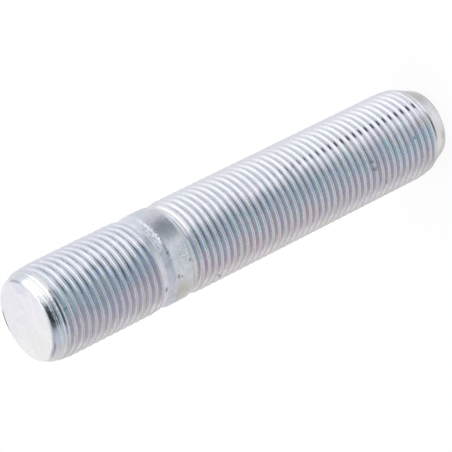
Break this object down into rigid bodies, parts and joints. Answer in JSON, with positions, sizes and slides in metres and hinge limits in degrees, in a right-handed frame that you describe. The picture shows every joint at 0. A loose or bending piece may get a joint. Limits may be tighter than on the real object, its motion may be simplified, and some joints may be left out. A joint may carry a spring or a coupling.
{
  "type": "wheel stud",
  "caption": "Double-ended threaded wheel stud with a plain collar between its short hub end and long nut end, both ends bevelled.",
  "frame": {"origin": "centre of the nut end face, which the stud stands on", "axes": "+Z along the stud's axis, from the long nut end up to the short hub end; X and Y are across it and alike"},
  "size_m": [0.0178, 0.0178, 0.094],
  "materials": {
    "zinc_plated_steel": "bright zinc plate with a clear bluish passivate, faintly iridescent"
  },
  "bodies": {
    "root": {"stud": "zinc_plated_steel"}
  },
  "joints": []
}
